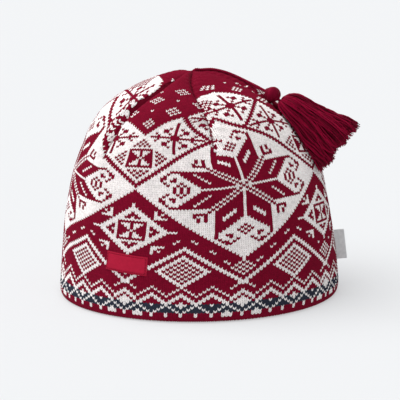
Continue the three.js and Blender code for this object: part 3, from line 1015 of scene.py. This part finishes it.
def make_cloth():
    around_count = 200
    bearing = np.linspace(0, 360, around_count, endpoint=False)[None, :]
    fold_length = math.pi * HEM_TURN
    inner = np.linspace(MERIDIAN - 1, HEM_DEPTH, 26)[:, None]
    hem = np.linspace(HEM_TURN - fold_length - 8, HEM_TURN, 18)
    outer = np.concatenate([np.linspace(3, 96, 40), np.linspace(98, MERIDIAN - 1, 60)])
    place = upright(bearing, inner)
    inner_lift = np.minimum(relief(place, inner) + slack(place, inner), 0)
    inner_points = dome_point(bearing, inner, inner_lift - WALL)
    hem_points = cloth_point(bearing, hem[:, None], CLOTH_LIFT)
    outer_points = cloth_point(bearing, outer[:, None], CLOTH_LIFT)
    rings = np.concatenate([inner_points, hem_points, outer_points])
    count = len(rings)
    points = np.vstack([
        rings.reshape(-1, 3),
        dome_point(0.0, MERIDIAN, -WALL)[None],
        cloth_point(0.0, MERIDIAN - 0.01, CLOTH_LIFT)[None],
    ])
    faces = grid_faces(count, around_count, closed=True).tolist()
    first, last, base = count * around_count, count * around_count + 1, (count - 1) * around_count
    for i in range(around_count):
        after = (i + 1) % around_count
        faces.append([after, i, first])
        faces.append([base + i, base + after, last])
    # the cloth under the stitches is crimson at 0.55, painted shade in the gaps between the stitches;
    # the inside of the wall is crimson at 0.9
    colours = np.tile(np.array(CRIMSON) * 0.55, (len(points), 1))
    colours[: len(inner) * around_count] = np.array(CRIMSON) * 0.9
    new_piece("knit_cloth", points, faces, wool, ["knit_body"], colours=colours)


make_stitches()
make_cloth()


# A point over the label's back: across and up from its middle, each from -1 to 1
LABEL_GAP = 0.3


def label_point(across, up, lift):
    tilt = math.radians(LABEL_TILT)
    flat_x = across * LABEL_WIDTH / 2
    flat_z = up * LABEL_HEIGHT / 2
    turned_x = flat_x * math.cos(tilt) - flat_z * math.sin(tilt)
    turned_z = flat_x * math.sin(tilt) + flat_z * math.cos(tilt)
    local_radius = float(section_at(LABEL_RISE)[0]) * HALF_WIDTH
    bearing = LABEL_BEARING + np.degrees(turned_x / local_radius)
    return dome_point(bearing, LABEL_RISE + turned_z, LABEL_GAP + lift)


# Label: a plate with rounded edges and a seam 1 mm in from them
SEAM_INSET, SEAM_DEPTH, SEAM_WIDTH = 1.0, 0.22, 0.45


def make_label():
    cloth = woven("label_cloth", LABEL_RED, 900)
    columns, lines = 60, 28
    u, v = np.meshgrid(np.linspace(-1, 1, columns), np.linspace(-1, 1, lines), indexing="ij")
    edge = np.minimum((1 - np.abs(u)) * LABEL_WIDTH / 2, (1 - np.abs(v)) * LABEL_HEIGHT / 2)
    seam = SEAM_DEPTH * np.exp(-(((edge - SEAM_INSET) / SEAM_WIDTH) ** 2))
    pillow = LABEL_THICKNESS * (1 - 0.75 * np.exp(-edge / 0.25)) - seam
    front = label_point(u, v, pillow + 0.06 * np.sin(9 * u) * np.sin(3 * v + 1))
    back = label_point(u, v, 0 * u)
    points = np.vstack([front.reshape(-1, 3), back.reshape(-1, 3)])
    size = columns * lines
    faces = grid_faces(columns, lines).tolist()
    faces += [[corner + size for corner in face[::-1]] for face in faces]
    rim = [i * lines for i in range(columns)]
    rim += [(columns - 1) * lines + j for j in range(1, lines)]
    rim += [i * lines + lines - 1 for i in range(columns - 2, -1, -1)]
    rim += [j for j in range(lines - 2, 0, -1)]
    for i, j in zip(rim, rim[1:] + rim[:1]):
        faces.append([i, i + size, j + size, j])
    new_piece("label", points, faces, cloth, ["front_label"])


# Running stitches along the label's seam
def make_label_stitching():
    half_x, half_z = LABEL_WIDTH / 2 - SEAM_INSET, LABEL_HEIGHT / 2 - SEAM_INSET
    stitch_points, thread_radius = 5, 0.17
    share = np.linspace(0, 1, stitch_points)
    lifts = LABEL_THICKNESS - 0.2 + thread_radius * np.sin(math.pi * share)
    stitches = []
    for count, start, stop in (
        (18, (-half_x, half_z), (half_x, half_z)),
        (18, (half_x, -half_z), (-half_x, -half_z)),
        (6, (half_x, half_z), (half_x, -half_z)),
        (6, (-half_x, -half_z), (-half_x, half_z)),
    ):
        start, stop = np.array(start), np.array(stop)
        step = (stop - start) / count
        for i in range(count):
            first, last = start + step * (i + 0.16), start + step * (i + 0.84)
            line = first + np.outer(share, last - first)
            across, up = line[:, 0] * 2 / LABEL_WIDTH, line[:, 1] * 2 / LABEL_HEIGHT
            stitches.append(label_point(across, up, lifts))
    thread = woven("label_thread", THREAD_RED, 900)
    radii = np.full((len(stitches), stitch_points), thread_radius)
    points, faces = tube_mesh(np.array(stitches), radii, 6, (0, -1, 0.2))
    new_piece("label_stitching", points, faces, thread)


make_label()
make_label_stitching()


# Tag: a tape folded on itself, its fold outwards, its two root edges caught in the knit
TAPE_THICKNESS, FOLD_RADIUS, FOLD_INSET = 0.42, 0.55, 1.3
ROOT_FLARE, ROOT_REACH = 0.3, 3.2


def make_tag():
    tape = woven("tag_tape", TAPE_GREY, 700)
    out = dome_normal(TAG_BEARING, TAG_RISE)
    up = unit(dome_point(TAG_BEARING, TAG_RISE + 1) - dome_point(TAG_BEARING, TAG_RISE - 1))
    side = unit(np.cross(up, out))
    root = dome_point(TAG_BEARING, TAG_RISE, 0.3)
    # half the middle line of the tape, from the fold to the root, as (reach, side)
    turn = FOLD_RADIUS - TAPE_THICKNESS / 2
    fold_reach = TAG_REACH - FOLD_INSET
    bend = np.linspace(0, math.pi / 2, 7)
    half = [(fold_reach - FOLD_RADIUS + turn * math.cos(t), turn * math.sin(t)) for t in bend]
    for reach in np.linspace(fold_reach - 0.8, 0, 16):
        flare = ROOT_FLARE * max(0, (ROOT_REACH - reach) / ROOT_REACH) ** 1.5
        half.append((reach, turn + flare))
    line = np.array([(r, -s) for r, s in half[:0:-1]] + half)
    slope = unit(np.gradient(line, axis=0))
    normal = np.column_stack([slope[:, 1], -slope[:, 0]]) * TAPE_THICKNESS / 2
    loop = np.vstack([line + normal, (line - normal)[::-1]])
    middle = np.vstack([line, line[::-1]])
    heights = np.linspace(-1, 1, 24) * TAG_HEIGHT / 2
    rings = []
    for height in heights:
        # the cut edges are thinner, and the tape waves a little up its height
        share = abs(height) / (TAG_HEIGHT / 2)
        thin = 1 - 0.35 * max(0, (share - 0.93) / 0.07)
        reach, aside = (middle + (loop - middle) * thin).T
        aside = aside + 0.12 * math.sin(height * 0.5 + 1) * reach / TAG_REACH
        rings.append(root + np.outer(reach, out) + np.outer(aside, side) + up * height)
    count = len(loop)
    points = np.vstack(rings)
    faces = grid_faces(len(heights), count, closed=True).tolist()
    half_count = len(line)
    for ring, flip in ((0, True), (len(heights) - 1, False)):
        start = ring * count
        for i in range(half_count - 1):
            face = [start + i, start + i + 1, start + count - 2 - i, start + count - 1 - i]
            faces.append(face[::-1] if flip else face)
    new_piece("tag", points, faces, tape, ["side_tag"])


make_tag()


# Floor and light, in metres
FLOOR_REACH = 12
SUN_WAY = (-0.38, -0.33, 1)


def make_floor():
    mesh = bpy.data.meshes.new("floor")
    corners = [(FLOOR_REACH * x, FLOOR_REACH * y, 0) for x, y in ((-1, -1), (1, -1), (1, 1), (-1, 1))]
    mesh.from_pydata(corners, [], [(0, 1, 2, 3)])
    floor = bpy.data.objects.new("floor", mesh)
    bpy.context.scene.collection.objects.link(floor)
    nodes = Nodes("floor")
    # half of its light is its own, as of a lit table, so that the shadow stays faint
    inputs = nodes.shader.inputs
    inputs["Base Color"].default_value = (0.35, 0.355, 0.361, 1)
    inputs["Emission Color"].default_value = (0.449, 0.4565, 0.4645, 1)
    inputs["Emission Strength"].default_value = 1.0
    inputs["Roughness"].default_value = 1.0
    inputs["Specular IOR Level"].default_value = 0.0
    mesh.materials.append(nodes.material)


def make_light():
    world = bpy.data.worlds.new("studio")
    world.use_nodes = True
    background = world.node_tree.nodes["Background"].inputs
    background["Color"].default_value = (1, 1, 1, 1)
    background["Strength"].default_value = 0.44
    bpy.context.scene.world = world
    # one broad lamp high on the left, so that the crown is brightest and the lower right darkest
    data = bpy.data.lights.new("key", "SUN")
    data.angle = math.radians(75)
    data.energy = 3.0
    light = bpy.data.objects.new("key", data)
    way = Vector(SUN_WAY)
    light.location = way
    light.rotation_euler = (-way).to_track_quat("-Z", "Y").to_euler()
    bpy.context.scene.collection.objects.link(light)
    bpy.context.scene.view_settings.view_transform = "Standard"


make_floor()
make_light()
